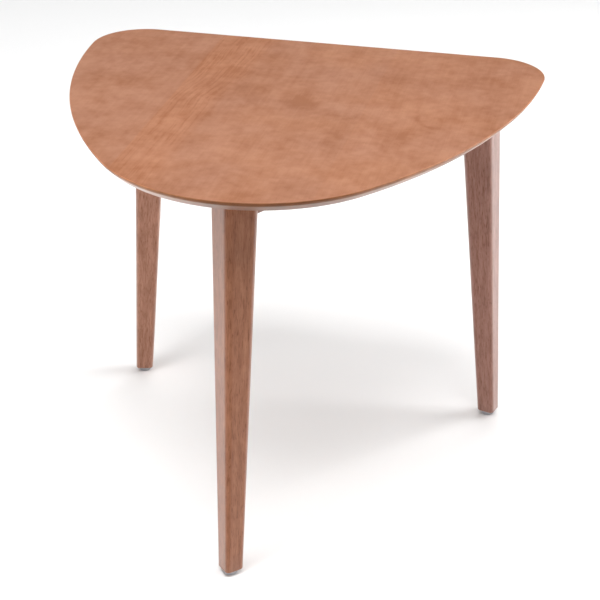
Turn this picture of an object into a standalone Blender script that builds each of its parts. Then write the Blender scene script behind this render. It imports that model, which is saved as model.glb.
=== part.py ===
"""Corner table with a rounded three-sided top, three leaning tapered legs and a triangle of rails.

Metres, +Z up. The origin is on the floor under the middle of the top. The straight back edge is at +Y
and the front leg at -Y.
"""

import math

import bmesh
import bpy
from mathutils import Matrix, Vector

# The whole table
TABLE_HEIGHT = 0.510
FIT_GAP = 0.0003
CUT_OVERRUN = 0.004

# The top, a board with a straight back edge, two back roundings, a wide front rounding and bowed sides
TOP_THICKNESS = 0.013
BACK_ROUND_SPACING = 0.4615
BACK_ROUND_RADIUS = 0.069
FRONT_ROUND_RADIUS = 0.196
FRONT_ROUND_REACH = 0.334
SIDE_RADIUS = 0.6575
EDGE_FACE = 0.003
EDGE_FACE_LEAN = 0.0011
EDGE_BEVEL_INSET = 0.0106
TOP_ARRIS_RADIUS = 0.0008

# The legs, on a circle that has its middle in front of the back edge
LEG_CIRCLE_RADIUS = 0.295
LEG_CIRCLE_FROM_BACK = 0.1968
LEG_LEAN = 0.042
LEG_TOP_SIZE = 0.0435
LEG_FOOT_SIZE = 0.024
LEG_TOP_ARRIS = 0.009
LEG_FOOT_ARRIS = 0.005
LEG_FOOT_CHAMFER = 0.0015
LEG_FLAT_CUT = 0.007

# The glides under the legs and their nails
GLIDE_RADIUS = 0.0085
GLIDE_THICKNESS = 0.0065
GLIDE_EDGE_RADIUS = 0.0018
GLIDE_RECESS_DEPTH = 0.003
NAIL_RADIUS = 0.0013
NAIL_HEAD_RADIUS = 0.0035
NAIL_HEAD_THICKNESS = 0.001
NAIL_LENGTH = 0.016
NAIL_TIP_LENGTH = 0.0025
NAIL_TIP_RADIUS = 0.0003

# The rails between the legs
RAIL_THICKNESS = 0.018
RAIL_DEPTH = 0.040
RAIL_OUTSET = 0.0042
RAIL_CHAMFER = 0.0008

# The corner blocks behind the legs
BLOCK_LENGTH = 0.048
BLOCK_HEIGHT = 0.027
BLOCK_CHAMFER = 0.001

# The hanger bolts, washers and nuts that pull the legs to the blocks
BOLT_RADIUS = 0.003
BOLT_IN_LEG = 0.026
BOLT_PAST_NUT = 0.004
BOLT_END_CHAMFER = 0.0008
WASHER_RADIUS = 0.009
WASHER_THICKNESS = 0.0016
NUT_FLATS = 0.010
NUT_THICKNESS = 0.005
NUT_CHAMFER = 0.0007

# The wood screws, countersunk and cross-slotted
SCREW_RADIUS = 0.002
SCREW_HEAD_RADIUS = 0.004
SCREW_HEAD_RIM = 0.0004
SCREW_HEAD_DEPTH = 0.0026
SCREW_TIP_LENGTH = 0.004
SCREW_TIP_RADIUS = 0.0004
SLOT_LENGTH = 0.0046
SLOT_WIDTH = 0.001
SLOT_DEPTH = 0.0014
BLOCK_SCREW_LENGTH = 0.020
BLOCK_SCREW_SINK = 0.0074
BLOCK_SCREW_SHARE = 0.56
TOP_SCREW_LENGTH = 0.035
TOP_SCREW_SINK = 0.012
TOP_SCREW_SHARE = 0.5

# How finely round shapes are divided
ROUND_SIDES = 24
FINE_SIDES = 16
CORNER_STEPS = 14
SIDE_STEPS = 26
ARRIS_STEPS = 4

# Where the legs and rails stand round the leg circle, in degrees
LEG_ANGLES = {"front": -90, "right": 30, "left": 150}
RAIL_ANGLES = {"back": 90, "right": -30, "left": 210}
CORNER_HALF_ANGLE = math.radians(60)

# Heights and places that follow from the sizes above
UNDERSIDE = TABLE_HEIGHT - TOP_THICKNESS
WOOD_TOP = UNDERSIDE - FIT_GAP
LEG_BOTTOM = GLIDE_THICKNESS + FIT_GAP
TOP_DEPTH = FRONT_ROUND_REACH + FRONT_ROUND_RADIUS
BACK_Y = TOP_DEPTH / 2
LEG_CIRCLE_Y = BACK_Y - LEG_CIRCLE_FROM_BACK
LEG_TOP_RADIUS = LEG_CIRCLE_RADIUS - LEG_LEAN
LEG_FLAT_X = LEG_TOP_RADIUS - LEG_TOP_SIZE / math.sqrt(2) + LEG_FLAT_CUT
NAIL_HEAD_TOP = GLIDE_RECESS_DEPTH - FIT_GAP
NAIL_TIP = NAIL_HEAD_TOP - NAIL_HEAD_THICKNESS + NAIL_LENGTH
RAIL_BOTTOM = WOOD_TOP - RAIL_DEPTH
RAIL_X = LEG_TOP_RADIUS * math.cos(CORNER_HALF_ANGLE) + RAIL_OUTSET
RAIL_HALF_LENGTH = LEG_TOP_RADIUS * math.sin(CORNER_HALF_ANGLE)
BOLT_Z = WOOD_TOP - RAIL_DEPTH / 2
BLOCK_FRONT_X = LEG_FLAT_X - FIT_GAP
BLOCK_BACK_X = BLOCK_FRONT_X - BLOCK_LENGTH
WASHER_X = BLOCK_BACK_X - FIT_GAP
NUT_X = WASHER_X - WASHER_THICKNESS - FIT_GAP
BOLT_END_X = NUT_X - NUT_THICKNESS - BOLT_PAST_NUT

CIRCLE_CENTRE = Matrix.Translation((0, LEG_CIRCLE_Y, 0))


def material(name, colour, roughness, metallic=0.0):
    made = bpy.data.materials.new(name)
    made.use_nodes = True
    shader = made.node_tree.nodes["Principled BSDF"]
    shader.inputs["Base Color"].default_value = (*colour, 1)
    shader.inputs["Roughness"].default_value = roughness
    shader.inputs["Metallic"].default_value = metallic
    made.diffuse_color = (*colour, 1)
    return made


def loft(name, rings, ends=True):
    """A solid through rings of points, closed by its end faces or, without them, from last ring to first."""
    mesh = bpy.data.meshes.new(name)
    body = bmesh.new()
    rows = [[body.verts.new(point) for point in ring] for ring in rings]
    count = len(rings[0])
    pairs = list(zip(rows, rows[1:]))
    if ends:
        body.faces.new(reversed(rows[0]))
        body.faces.new(rows[-1])
    else:
        pairs.append((rows[-1], rows[0]))
    for low, high in pairs:
        for i in range(count):
            j = (i + 1) % count
            body.faces.new((low[i], low[j], high[j], high[i]))
    bmesh.ops.recalc_face_normals(body, faces=body.faces)
    body.to_mesh(mesh)
    body.free()
    return mesh


def circle(radius, z, sides):
    steps = [2 * math.pi * i / sides for i in range(sides)]
    return [Vector((radius * math.cos(a), radius * math.sin(a), z)) for a in steps]


def turned(name, profile, sides, ends=True):
    """A round solid about Z through the profile's (radius, height) points."""
    mesh = loft(name, [circle(radius, z, sides) for radius, z in profile], ends)
    mesh.shade_smooth()
    mesh.set_sharp_from_angle(angle=math.radians(35))
    return mesh


def prism(name, outline, low, high):
    return loft(name, [[Vector((x, y, z)) for x, y in outline] for z in (low, high)])


def box_outline(low_x, high_x, low_y, high_y):
    return [(low_x, low_y), (high_x, low_y), (high_x, high_y), (low_x, high_y)]


def chamfered(mesh, width):
    body = bmesh.new()
    body.from_mesh(mesh)
    bmesh.ops.bevel(body, geom=body.edges[:], offset=width, segments=1, affect="EDGES")
    body.to_mesh(mesh)
    body.free()
    return mesh


def carved(mesh, cutters, operation="DIFFERENCE"):
    """The mesh with each (mesh, matrix) of cutters taken from it."""
    target = bpy.data.objects.new(mesh.name, mesh)
    bpy.context.scene.collection.objects.link(target)
    helpers = []
    for cutter, matrix in cutters:
        helper = bpy.data.objects.new("cutter", cutter)
        bpy.context.scene.collection.objects.link(helper)
        helper.matrix_world = matrix
        helper.hide_render = True
        helper.display_type = "WIRE"
        cut = target.modifiers.new("cut", "BOOLEAN")
        cut.operation = operation
        cut.object = helper
        helpers.append(helper)
    bpy.context.view_layer.update()
    graph = bpy.context.evaluated_depsgraph_get()
    result = bpy.data.meshes.new_from_object(target.evaluated_get(graph))
    for used in [*helpers, target]:
        bpy.data.objects.remove(used)
    return result


def place(name, mesh, finish, matrix):
    mesh.materials.clear()
    mesh.materials.append(finish)
    made = bpy.data.objects.new(name, mesh)
    made.matrix_world = matrix
    bpy.context.scene.collection.objects.link(made)


def round_the_circle(degrees):
    """Turns a piece made at the +X side of the leg circle to its own angle, and moves it to the circle."""
    return CIRCLE_CENTRE @ Matrix.Rotation(math.radians(degrees), 4, "Z")


def aimed(point, direction):
    """Puts a piece made along +Z at the point, along the direction."""
    turn = Vector(direction).to_track_quat("Z", "Y").to_matrix().to_4x4()
    return Matrix.Translation(point) @ turn


def arc(centre, radius, start, end, steps):
    """Points along an arc, without its last one."""
    angles = [start + (end - start) * i / steps for i in range(steps)]
    return [(centre.x + radius * math.cos(a), centre.y + radius * math.sin(a)) for a in angles]


def top_outline(inset):
    """The top's plan, drawn in from its edge by inset. The bowed sides run smoothly into the roundings."""
    back = Vector((BACK_ROUND_SPACING / 2, BACK_Y - BACK_ROUND_RADIUS))
    front = Vector((0, BACK_Y - FRONT_ROUND_REACH))
    to_back = SIDE_RADIUS - BACK_ROUND_RADIUS
    to_front = SIDE_RADIUS - FRONT_ROUND_RADIUS
    span = (front - back).length
    along = (span**2 + to_back**2 - to_front**2) / (2 * span)
    across = math.sqrt(to_back**2 - along**2)
    run = (front - back) / span
    side = back + run * along + Vector((run.y, -run.x)) * across
    from_back = math.atan2(back.y - side.y, back.x - side.x)
    from_front = math.atan2(front.y - side.y, front.x - side.x)
    right = arc(back, BACK_ROUND_RADIUS - inset, math.pi / 2, from_back, CORNER_STEPS)
    right += arc(side, SIDE_RADIUS - inset, from_back, from_front, SIDE_STEPS)
    right += arc(front, FRONT_ROUND_RADIUS - inset, from_front, -math.pi / 2, CORNER_STEPS)
    left = [(-x, y) for x, y in reversed(right)]
    return right + [(0, front.y - FRONT_ROUND_RADIUS + inset)] + left


def top_mesh():
    """The board: a rounded arris, an edge face that leans in and a bevel that thins the edge from below."""
    face_bottom = TABLE_HEIGHT - TOP_ARRIS_RADIUS - EDGE_FACE
    levels = [(UNDERSIDE, EDGE_BEVEL_INSET), (face_bottom, EDGE_FACE_LEAN)]
    for step in range(ARRIS_STEPS + 1):
        turn = math.pi / 2 * step / ARRIS_STEPS
        height = TABLE_HEIGHT - TOP_ARRIS_RADIUS * (1 - math.sin(turn))
        levels.append((height, TOP_ARRIS_RADIUS * (1 - math.cos(turn))))
    rings = [[Vector((x, y, z)) for x, y in top_outline(inset)] for z, inset in levels]
    mesh = loft("table_top", rings)
    mesh.shade_smooth()
    mesh.set_sharp_from_angle(angle=math.radians(30))
    return mesh


def leg_ring(x, z, size, radius):
    """A rounded square with one corner towards the middle of the table."""
    points = []
    for corner in range(4):
        middle = math.pi / 2 * corner
        reach = (size / 2 - radius) * math.sqrt(2)
        for step in range(ARRIS_STEPS + 1):
            turn = middle + math.pi / 2 * (step / ARRIS_STEPS - 1 / 2)
            across = reach * math.cos(middle) + radius * math.cos(turn)
            along = reach * math.sin(middle) + radius * math.sin(turn)
            points.append(Vector((x + across, along, z)))
    return points


def leg_blank(grow):
    """The tapered leg before its holes are made, grown by a clearance where it cuts the rails."""
    slope = LEG_LEAN / (WOOD_TOP - LEG_BOTTOM)
    chamfer_x = LEG_CIRCLE_RADIUS - slope * LEG_FOOT_CHAMFER
    foot = LEG_FOOT_SIZE + 2 * grow
    head = LEG_TOP_SIZE + 2 * grow
    foot_arris = LEG_FOOT_ARRIS + grow
    rings = [
        leg_ring(LEG_CIRCLE_RADIUS, LEG_BOTTOM, foot - 2 * LEG_FOOT_CHAMFER, foot_arris),
        leg_ring(chamfer_x, LEG_BOTTOM + LEG_FOOT_CHAMFER, foot, foot_arris),
        leg_ring(LEG_TOP_RADIUS, WOOD_TOP, head, LEG_TOP_ARRIS + grow),
    ]
    mesh = loft("leg", rings)
    mesh.shade_smooth()
    mesh.set_sharp_from_angle(angle=math.radians(30))
    return mesh


def leg_mesh():
    """The leg with a flat for its corner block, a bore for the hanger bolt and a hole for the nail."""
    flat = prism(
        "flat",
        box_outline(LEG_FLAT_X - LEG_TOP_SIZE, LEG_FLAT_X, -LEG_TOP_SIZE, LEG_TOP_SIZE),
        WOOD_TOP - 2 * RAIL_DEPTH,
        WOOD_TOP + CUT_OVERRUN,
    )
    bore = hole(BOLT_RADIUS + FIT_GAP, BOLT_IN_LEG + FIT_GAP, CUT_OVERRUN)
    nail = hole(NAIL_RADIUS + FIT_GAP, NAIL_TIP + FIT_GAP - LEG_BOTTOM, CUT_OVERRUN)
    cutters = [
        (flat, Matrix.Identity(4)),
        (bore, aimed((LEG_FLAT_X, 0, BOLT_Z), (1, 0, 0))),
        (nail, Matrix.Translation((LEG_CIRCLE_RADIUS, 0, LEG_BOTTOM))),
    ]
    return carved(leg_blank(0), cutters)


def hole(radius, depth, overrun):
    """A round cutter along +Z from the face that it starts on."""
    return turned("hole", [(radius, -overrun), (radius, depth)], FINE_SIDES)


def glide_mesh():
    """A round glide with a recess for the nail's head and a hole for its shank."""
    inner = NAIL_RADIUS + FIT_GAP
    recess = NAIL_HEAD_RADIUS + FIT_GAP
    profile = [(recess, GLIDE_RECESS_DEPTH), (recess, 0)]
    for step in range(ARRIS_STEPS + 1):
        turn = math.pi / 2 * step / ARRIS_STEPS
        radius = GLIDE_RADIUS - GLIDE_EDGE_RADIUS * (1 - math.sin(turn))
        profile.append((radius, GLIDE_EDGE_RADIUS * (1 - math.cos(turn))))
    profile += [(GLIDE_RADIUS, GLIDE_THICKNESS), (inner, GLIDE_THICKNESS), (inner, GLIDE_RECESS_DEPTH)]
    return turned("glide", profile, ROUND_SIDES, ends=False)


def nail_mesh():
    """The glide's nail, point up, with its head in the recess."""
    profile = [
        (NAIL_HEAD_RADIUS, NAIL_HEAD_TOP - NAIL_HEAD_THICKNESS),
        (NAIL_HEAD_RADIUS, NAIL_HEAD_TOP),
        (NAIL_RADIUS, NAIL_HEAD_TOP),
        (NAIL_RADIUS, NAIL_TIP - NAIL_TIP_LENGTH),
        (NAIL_TIP_RADIUS, NAIL_TIP),
    ]
    return turned("glide_nail", profile, FINE_SIDES)


def screw_profile(length, grow, sink):
    """A countersunk screw along +Z. As a cutter it is grown, and its sink reaches behind the head."""
    start = [(SCREW_HEAD_RADIUS + grow, -sink)] if sink else []
    return start + [
        (SCREW_HEAD_RADIUS + grow, 0),
        (SCREW_HEAD_RADIUS + grow, SCREW_HEAD_RIM + grow),
        (SCREW_RADIUS + grow, SCREW_HEAD_DEPTH + grow),
        (SCREW_RADIUS + grow, length - SCREW_TIP_LENGTH + grow),
        (SCREW_TIP_RADIUS + grow, length + grow),
    ]


def screw_cutter(length, sink):
    return turned("screw_hole", screw_profile(length, FIT_GAP, sink + CUT_OVERRUN), FINE_SIDES)


def screw_mesh(length):
    half, width = SLOT_LENGTH / 2, SLOT_WIDTH / 2
    slots = [box_outline(-half, half, -width, width), box_outline(-width, width, -half, half)]
    cutters = [(prism("slot", slot, -CUT_OVERRUN, SLOT_DEPTH), Matrix.Identity(4)) for slot in slots]
    return carved(turned("screw", screw_profile(length, 0, 0), FINE_SIDES), cutters)


def top_screw_places():
    """Where the screws through a rail start, from the +X rail's own view."""
    height = RAIL_BOTTOM + TOP_SCREW_SINK
    for end in (-1, 1):
        yield Matrix.Translation((RAIL_X, end * RAIL_HALF_LENGTH * TOP_SCREW_SHARE, height))


def block_half_width(x):
    """How far a corner block reaches to each side at x, between the inner faces of its two rails."""
    inner = RAIL_X - RAIL_THICKNESS / 2 - FIT_GAP
    return (inner - x * math.cos(CORNER_HALF_ANGLE)) / math.sin(CORNER_HALF_ANGLE)


def block_screw_places():
    """Where a corner block's screws start, one into each rail, square to its inner face."""
    for side in (-1, 1):
        out = Vector((math.cos(CORNER_HALF_ANGLE), side * math.sin(CORNER_HALF_ANGLE), 0))
        across = side * block_half_width(BLOCK_BACK_X) * BLOCK_SCREW_SHARE
        start = Vector((BLOCK_BACK_X, across, BOLT_Z)) + out * BLOCK_SCREW_SINK
        yield aimed(start, out)


def rail_mesh():
    """A rail shaped at its ends to the leaning legs, with holes for the screws into it and through it."""
    outline = box_outline(
        RAIL_X - RAIL_THICKNESS / 2, RAIL_X + RAIL_THICKNESS / 2, -RAIL_HALF_LENGTH, RAIL_HALF_LENGTH
    )
    blank = chamfered(prism("rail", outline, RAIL_BOTTOM, WOOD_TOP), RAIL_CHAMFER)
    leg = leg_blank(FIT_GAP)
    block_hole = screw_cutter(BLOCK_SCREW_LENGTH, BLOCK_SCREW_SINK)
    top_hole = screw_cutter(TOP_SCREW_LENGTH, TOP_SCREW_SINK)
    cutters = [(top_hole, matrix) for matrix in top_screw_places()]
    for side in (-1, 1):
        turn = Matrix.Rotation(side * CORNER_HALF_ANGLE, 4, "Z")
        cutters.append((leg, turn))
        cutters += [(block_hole, turn @ matrix) for matrix in block_screw_places()]
    return carved(blank, cutters)


def block_mesh():
    """A wedge between two rails, bored for the hanger bolt and for the screws into the rails."""
    front, back = block_half_width(BLOCK_FRONT_X), block_half_width(BLOCK_BACK_X)
    outline = [
        (BLOCK_BACK_X, -back),
        (BLOCK_FRONT_X, -front),
        (BLOCK_FRONT_X, front),
        (BLOCK_BACK_X, back),
    ]
    blank = prism("corner_block", outline, BOLT_Z - BLOCK_HEIGHT / 2, BOLT_Z + BLOCK_HEIGHT / 2)
    bore = hole(BOLT_RADIUS + FIT_GAP, BLOCK_LENGTH + CUT_OVERRUN, CUT_OVERRUN)
    screw_hole = screw_cutter(BLOCK_SCREW_LENGTH, BLOCK_SCREW_SINK)
    cutters = [(bore, aimed((BLOCK_BACK_X, 0, BOLT_Z), (1, 0, 0)))]
    cutters += [(screw_hole, matrix) for matrix in block_screw_places()]
    return carved(chamfered(blank, BLOCK_CHAMFER), cutters)


def bolt_mesh():
    """A hanger bolt along +Z, from its free end to the end inside the leg."""
    length = LEG_FLAT_X + BOLT_IN_LEG - BOLT_END_X
    slim = BOLT_RADIUS - BOLT_END_CHAMFER
    profile = [
        (slim, 0),
        (BOLT_RADIUS, BOLT_END_CHAMFER),
        (BOLT_RADIUS, length - BOLT_END_CHAMFER),
        (slim, length),
    ]
    return turned("hanger_bolt", profile, FINE_SIDES)


def washer_mesh():
    inner = BOLT_RADIUS + FIT_GAP
    profile = [(inner, 0), (WASHER_RADIUS, 0), (WASHER_RADIUS, WASHER_THICKNESS), (inner, WASHER_THICKNESS)]
    return turned("washer", profile, ROUND_SIDES, ends=False)


def nut_mesh():
    """A hexagon nut with chamfered corners."""
    across = NUT_FLATS / math.cos(math.radians(30)) / 2
    block = turned("nut", [(across, 0), (across, NUT_THICKNESS)], 6)
    barrel = turned(
        "barrel",
        [
            (across - NUT_CHAMFER, 0),
            (across, NUT_CHAMFER / 2),
            (across, NUT_THICKNESS - NUT_CHAMFER / 2),
            (across - NUT_CHAMFER, NUT_THICKNESS),
        ],
        ROUND_SIDES,
    )
    bore = hole(BOLT_RADIUS + FIT_GAP, NUT_THICKNESS + CUT_OVERRUN, CUT_OVERRUN)
    shaped = carved(block, [(barrel, Matrix.Identity(4))], "INTERSECT")
    return carved(shaped, [(bore, Matrix.Identity(4))])


def build_top(finish):
    cutter = screw_cutter(TOP_SCREW_LENGTH, TOP_SCREW_SINK)
    turns = [round_the_circle(degrees) for degrees in RAIL_ANGLES.values()]
    cutters = [(cutter, turn @ matrix) for turn in turns for matrix in top_screw_places()]
    place("table_top", carved(top_mesh(), cutters), finish, Matrix.Identity(4))


def build_legs(wood, plastic, steel):
    leg, glide, nail = leg_mesh(), glide_mesh(), nail_mesh()
    foot = Matrix.Translation((LEG_CIRCLE_RADIUS, 0, 0))
    for side, degrees in LEG_ANGLES.items():
        turn = round_the_circle(degrees)
        place(f"leg_{side}", leg, wood, turn)
        place(f"glide_{side}", glide, plastic, turn @ foot)
        place(f"glide_nail_{side}", nail, steel, turn @ foot)


def build_corners(wood, steel):
    block, bolt, washer, nut = block_mesh(), bolt_mesh(), washer_mesh(), nut_mesh()
    screw = screw_mesh(BLOCK_SCREW_LENGTH)
    for side, degrees in LEG_ANGLES.items():
        turn = round_the_circle(degrees)
        place(f"corner_block_{side}", block, wood, turn)
        place(f"hanger_bolt_{side}", bolt, steel, turn @ aimed((BOLT_END_X, 0, BOLT_Z), (1, 0, 0)))
        place(f"washer_{side}", washer, steel, turn @ aimed((WASHER_X, 0, BOLT_Z), (-1, 0, 0)))
        place(f"nut_{side}", nut, steel, turn @ aimed((NUT_X, 0, BOLT_Z), (-1, 0, 0)))
        for number, matrix in enumerate(block_screw_places(), 1):
            place(f"block_screw_{side}_{number}", screw, steel, turn @ matrix)


def build_rails(wood, steel):
    rail = rail_mesh()
    screw = screw_mesh(TOP_SCREW_LENGTH)
    for side, degrees in RAIL_ANGLES.items():
        turn = round_the_circle(degrees)
        place(f"rail_{side}", rail, wood, turn)
        for number, matrix in enumerate(top_screw_places(), 1):
            place(f"top_screw_{side}_{number}", screw, steel, turn @ matrix)


def main():
    for old in list(bpy.data.objects):
        bpy.data.objects.remove(old)
    top_wood = material("stained_top_veneer", (0.53, 0.25, 0.15), 0.45)
    leg_wood = material("stained_leg_wood", (0.33, 0.14, 0.085), 0.45)
    frame_wood = material("stained_rail_wood", (0.36, 0.17, 0.10), 0.55)
    steel = material("zinc_plated_steel", (0.62, 0.62, 0.60), 0.35, 1.0)
    plastic = material("grey_nylon", (0.30, 0.29, 0.31), 0.5)
    build_top(top_wood)
    build_legs(leg_wood, plastic, steel)
    build_corners(frame_wood, steel)
    build_rails(frame_wood, steel)


main()
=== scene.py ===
import math

import bmesh
import bpy
from mathutils import Matrix, Vector


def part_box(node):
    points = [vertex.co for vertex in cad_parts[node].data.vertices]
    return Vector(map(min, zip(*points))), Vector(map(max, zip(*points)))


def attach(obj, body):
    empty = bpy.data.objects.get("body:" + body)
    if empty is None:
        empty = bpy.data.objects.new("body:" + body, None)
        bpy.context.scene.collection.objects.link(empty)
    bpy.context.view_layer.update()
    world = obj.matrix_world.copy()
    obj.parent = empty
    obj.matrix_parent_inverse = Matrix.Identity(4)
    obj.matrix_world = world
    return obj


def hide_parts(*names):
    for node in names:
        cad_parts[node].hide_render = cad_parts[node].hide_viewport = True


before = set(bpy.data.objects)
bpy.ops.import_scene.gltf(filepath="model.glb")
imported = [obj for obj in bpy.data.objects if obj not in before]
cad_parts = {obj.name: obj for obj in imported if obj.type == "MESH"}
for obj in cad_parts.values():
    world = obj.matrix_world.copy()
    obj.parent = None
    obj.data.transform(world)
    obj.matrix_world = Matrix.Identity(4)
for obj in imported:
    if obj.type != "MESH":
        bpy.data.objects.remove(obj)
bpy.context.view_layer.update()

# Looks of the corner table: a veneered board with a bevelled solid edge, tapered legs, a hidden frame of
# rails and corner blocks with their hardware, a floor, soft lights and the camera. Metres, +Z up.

# The board, from its node's box and from the radii that its plan is drawn with
BOARD_LOW, BOARD_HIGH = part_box("table_top")
BACK_ROUND_RADIUS = 0.069
BACK_ROUND_SPACING = 0.4615
FRONT_ROUND_RADIUS = 0.196
SIDE_RADIUS = 0.6575
EDGE_FACE = 0.003
EDGE_LEAN = 0.0011
BEVEL_INSET = 0.0106
TOP_ARRIS = 0.0008
BEVEL_ARRIS = 0.0006
EDGE_ARRIS = 0.008
FLAT_MARGIN = 0.0003
BOX_MARGIN = 0.00006
CORNER_STEPS = 36
SIDE_STEPS = 60
ARRIS_STEPS = 5
FACE_RINGS = 10
FACE_RING_REACH = 0.97
FACE_MIDDLE_Y = BOARD_HIGH.y / 3

# The veneer's leaves and its band of clear lines: where the leaves meet, the middle and half width of the
# band and the shares of it at which it fades, and how far it shifts between two places along it
LEAF_JOINTS = (-0.138, 0.100)
BAND_MIDDLE = -0.107
BAND_HALF_WIDTH = 0.034
BAND_FADE = (0.7, 1.5)
BAND_BEND = (0.12, 0.02)
BAND_SHIFT = 0.012

# The lines in the band: how far and how often they wander, how straight they run, their spacing, the dashes
# that break them, and the fading towards the front
LINE_WANDER = 0.006
LINE_WANDER_PATCH = 0.05
LINE_STRETCH = 0.03
LINE_SPACING = 0.0029
LINE_RANGE = (0.44, 0.64)
LINE_DEPTH = 0.6
DASH_PATCH = 0.0036
DASH_STRETCH = (1, 0.3, 1)
DASH_RANGE = (0.38, 0.58)
DASH_LEAST = 0.35
LINE_FADE = (-0.14, 0.0)
LINE_FADE_LEAST = 0.6

# Dark and light blotches in the veneer's stain, each a place, a radius and a depth, the shares of the radius
# between which they fade, and the warp of their outlines
BLOTCHES = (
    ((0.016, 0.046), 0.030, 0.45), ((-0.046, 0.068), 0.028, 0.35), ((0.238, 0.165), 0.040, 0.30),
    ((-0.205, 0.075), 0.045, 0.15), ((0.024, -0.086), 0.034, 0.25), ((0.147, -0.048), 0.034, 0.20),
    ((0.118, 0.150), 0.026, 0.20), ((-0.150, 0.160), 0.030, 0.20), ((0.040, -0.150), 0.026, 0.15),
    ((-0.246, 0.000), 0.030, -0.20), ((0.084, 0.036), 0.026, -0.25), ((-0.018, -0.018), 0.028, -0.20),
    ((0.156, 0.066), 0.026, -0.20), ((0.132, -0.108), 0.032, -0.20), ((-0.030, -0.130), 0.034, -0.15),
)
BLOTCH_FADE = (0.2, 1.1)
BLOTCH_WARP = 0.036
BLOTCH_WARP_SCALE = 34.0

# The curl beside a small knot, a part of a ring: its place, radius, line widths and depth, and where it
# starts and ends from its place
CURL_PLACE = (0.197, 0.026)
CURL_RADIUS = 0.030
CURL_WIDTHS = (0.0008, 0.005)
CURL_DEPTH = 0.4
CURL_X = (-0.012, 0.004)
CURL_Y = (0.004, 0.014)

# The solid edge: where its painted shade is darkest, how far from there painted light turns it paler,
# and the depth of the band under the face that has less coat
EDGE_SHADED_MIDDLE = 0.05
EDGE_LIT_SPREAD = (0.04, 0.16)
EDGE_BAND = (0.0042, 0.0058)

# The legs
LEG_SIDES = ("front", "right", "left")
LEG_ANGLES = {"front": -90, "right": 30, "left": 150}
LEG_CIRCLE_Y = BOARD_HIGH.y - 0.1968
LEG_CIRCLE_RADIUS = 0.295
LEG_LEAN = 0.042
LEG_TOP_SIZE = 0.0435
LEG_FOOT_SIZE = 0.024
LEG_TOP_ARRIS = 0.009
LEG_FOOT_ARRIS = 0.005
LEG_FLAT_CUT = 0.007
LEG_FLAT_HEIGHT = 0.070
LEG_FOOT_ROUND = 0.0015
LEG_RINGS = 14
LEG_ARRIS_STEPS = 10

# The glides
GLIDE_EDGE = 0.0018
GLIDE_RECESS_RADIUS = 0.0038
GLIDE_RECESS_DEPTH = 0.003
GLIDE_LIP = 0.0004
GLIDE_SIDES = 64

# The hanger bolts
THREAD_PITCH = 0.001
THREAD_DEPTH = 0.0006
THREAD_SIDES = 36
THREAD_STEPS = 8
THREAD_RUNOUT = 0.8
THREAD_SLOPE = 2.6

RAIL_ANGLES = {"back": 90, "right": -30, "left": 210}

# The angles in degrees below which each piece is shaded smooth
SMOOTH_BELOW = {"board": 35.0, "leg": 30.0, "glide": 30.0, "bolt": 50.0}

# Camera, as the photograph was taken
CAMERA_PLACE = Vector((0.4438, -1.7557, 1.2097))
CAMERA_TURN = math.radians(13.23)
CAMERA_DOWN = math.radians(27.73)
CAMERA_ROLL = math.radians(0.395)
CAMERA_LENS = 96.96
CAMERA_SENSOR = 36

# The floor, and the lights as place, aim, size and power
FLOOR_HALF = 9.0
FLOOR_PATCH = 0.9
FLOOR_GREYS = ((0.86, 0.86, 0.86, 1), (0.88, 0.88, 0.88, 1))
FLOOR_ROUGHNESS = 0.9
FLOOR_GLOSS = 0.1
WORLD_STRENGTH = 0.02
SOFTBOXES = {
    "overhead_softbox": ((0.0, -0.7, 2.3), (0, -0.4, 0.0), (1.8, 1.2), 62),
    "back_softbox": ((0.0, 1.9, 2.3), (0, 0, 0.3), (1.8, 1.2), 16.5),
    "floor_softbox": ((0.0, 3.8, 4.2), (0, 3.8, 0.0), (4.0, 2.4), 80),
    "left_softbox": ((-2.4, 0.1, 1.3), (0, 0, 0.3), (1.6, 1.8), 6),
    "right_softbox": ((2.2, 1.2, 1.3), (0, 0, 0.3), (1.6, 1.8), 66),
    "front_softbox": ((-1.6, -1.8, 1.3), (0, 0, 0.3), (1.6, 1.8), 23),
    "corner_softbox": ((-1.8, 1.8, 1.3), (0, 0, 0.3), (1.6, 1.8), 7.5),
}

# The stained colours, as light that comes off them. A shade is what the darkest stain leaves of its colour
WHITE = (1, 1, 1, 1)
VENEER_TAN = (0.289, 0.129, 0.070, 1)
VENEER_ORANGE = (0.304, 0.128, 0.064, 1)
VENEER_GREY = (0.272, 0.124, 0.073, 1)
VENEER_SHADE = (0.73, 0.60, 0.45, 1)
# Painted light and shade on the edge: the tan is its lit colour and the brown below is its shaded colour,
# over its stain
EDGE_TAN_IN_LIGHT = (0.44, 0.19, 0.092, 1)
EDGE_BROWN_IN_SHADE = (0.215, 0.077, 0.026, 1)
EDGE_SHADE = (0.62, 0.60, 0.56, 1)
BACK_LIGHT = (0.34, 0.19125, 0.1105, 1)
BACK_DARK = (0.27075, 0.1349, 0.0741, 1)
BACK_STREAK = (0.285, 0.142, 0.078, 1)
# Each leg's tone is partly its own wood and partly painted light and shade, matched to how that leg is lit:
# the left leg paler, the right leg greyer and bluer
LEG_TONES_AND_LIGHT = {
    "front": (0.376, 0.156, 0.082, 1), "right": (0.396, 0.202, 0.157, 1), "left": (0.500, 0.252, 0.172, 1),
}
LEG_SHADE = (0.52, 0.42, 0.34, 1)
FRAME_TONES = {
    "rail": ((0.34, 0.157, 0.094, 1), (0.195, 0.080, 0.047, 1)),
    "block": ((0.40, 0.225, 0.13, 1), (0.285, 0.142, 0.078, 1)),
}
FRAME_PORE = (0.16, 0.07, 0.04, 1)
ZINC_BRIGHT = (0.62, 0.63, 0.64, 1)
ZINC_DULL = (0.46, 0.46, 0.44, 1)
ZINC_RUBBED = (0.78, 0.78, 0.77, 1)
NYLON_GREYS = ((0.38, 0.38, 0.41, 1), (0.47, 0.47, 0.50, 1))
NYLON_SCUFFED = (0.55, 0.54, 0.54, 1)

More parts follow.
